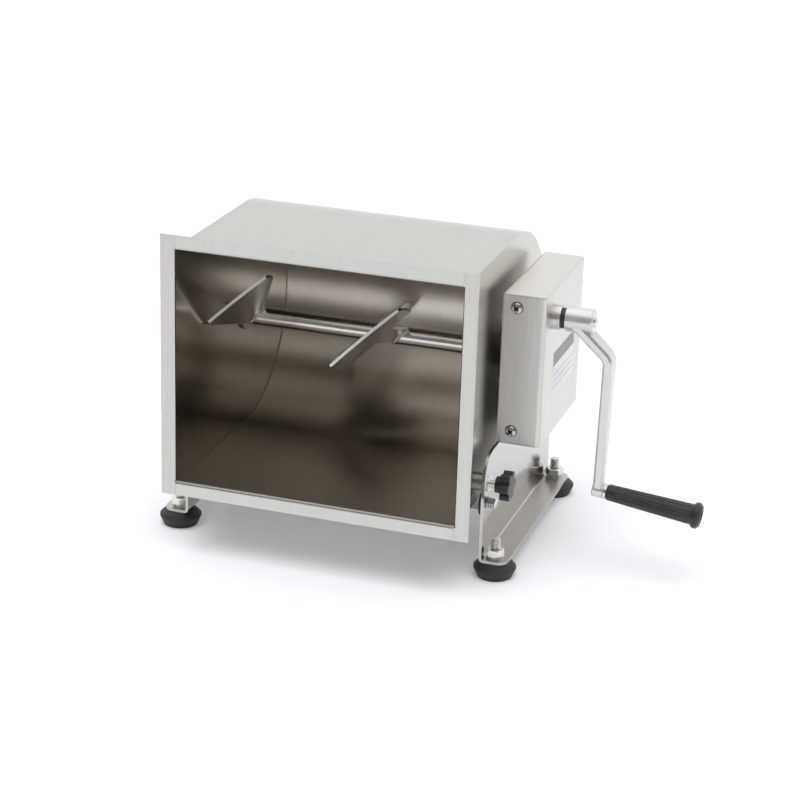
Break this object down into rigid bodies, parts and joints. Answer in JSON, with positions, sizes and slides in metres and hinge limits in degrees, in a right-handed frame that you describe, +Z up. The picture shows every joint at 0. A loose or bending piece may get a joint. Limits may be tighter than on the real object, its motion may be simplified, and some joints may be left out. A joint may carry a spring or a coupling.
{
  "type": "hand-cranked meat mixer",
  "caption": "Bench meat mixer: a tipping stainless tub between two sheet stands, with a paddle shaft turned by a hand crank through a covered gear pair.",
  "frame": {"origin": "on the floor, under the middle of the machine's box", "axes": "+X towards the crank, along the shaft; +Y away from the operator and the tipped tub's mouth; +Z up"},
  "size_m": [0.5695, 0.326, 0.341],
  "materials": {
    "stainless_steel": "brushed and polished sheet",
    "zinc_steel": "bright zinc",
    "chromed_steel": "polished chrome",
    "gear_steel": "machined and greased",
    "black_rubber": "matt",
    "black_plastic": "satin",
    "bush_plastic": "natural nylon"
  },
  "bodies": {
    "frame": {"right_stand": "stainless_steel", "left_stand": "stainless_steel", "cross_tie": "stainless_steel", "foot_front_left": "black_rubber", "foot_front_right": "black_rubber", "foot_rear_left": "black_rubber", "foot_rear_right": "black_rubber", "foot_studs": "zinc_steel", "foot_washers": "zinc_steel", "foot_nuts": "zinc_steel", "left_pivot_bush": "bush_plastic", "right_pivot_bush": "bush_plastic", "gearbox_cover": "stainless_steel", "cover_screws": "zinc_steel", "crank_bush": "stainless_steel", "crank_inner_bush": "bush_plastic", "plunger_bush": "zinc_steel", "plunger_nut": "zinc_steel", "stop_bolt": "stainless_steel", "stop_sleeve": "black_rubber"},
    "tub": {"tub_wrapper": "stainless_steel", "tub_left_end": "stainless_steel", "tub_right_end": "stainless_steel", "left_trunnion": "stainless_steel", "right_trunnion": "stainless_steel", "shaft_seals": "black_rubber", "index_boss": "stainless_steel", "index_lug": "stainless_steel"},
    "mixer": {"mixing_shaft": "stainless_steel", "paddle_1": "stainless_steel", "paddle_2": "stainless_steel", "paddle_3": "stainless_steel", "paddle_4": "stainless_steel", "drive_gear": "gear_steel", "gear_key": "zinc_steel", "gear_washer": "zinc_steel", "gear_screw": "zinc_steel", "left_washer": "zinc_steel", "left_screw": "zinc_steel"},
    "crank": {"crank_shaft": "chromed_steel", "pinion": "gear_steel", "crank_spacer": "black_plastic", "crank_arm": "chromed_steel", "crank_screw": "chromed_steel", "grip_pin": "chromed_steel", "grip_collar": "chromed_steel"},
    "grip": {"grip": "black_plastic"},
    "lock": {"plunger_pin": "zinc_steel", "star_knob": "black_plastic"}
  },
  "joints": [
    {"name": "tub_tilt", "type": "hinge", "parent": "frame", "child": "tub", "pos_m": [-0.08832, 0.024, 0.202], "axis": [-1, 0, 0], "range_deg": [0, 90]},
    {"name": "mixer_spin", "type": "hinge", "parent": "frame", "child": "mixer", "pos_m": [-0.08832, 0.024, 0.202], "axis": [1, 0, 0], "continuous": true},
    {"name": "crank_spin", "type": "hinge", "parent": "frame", "child": "crank", "pos_m": [0.13768, -0.03221, 0.26442], "axis": [1, 0, 0], "continuous": true},
    {"name": "grip_spin", "type": "hinge", "parent": "crank", "child": "grip", "pos_m": [0.17569, -0.03221, 0.08542], "axis": [0.9936, 0, -0.1132], "continuous": true},
    {"name": "lock_slide", "type": "slide", "parent": "frame", "child": "lock", "axis": [1, 0, 0], "range_m": [-0.006, 0]}
  ],
  "couplings": [
    {"joint": "crank_spin", "follows": "mixer_spin", "ratio": -3.2}
  ]
}
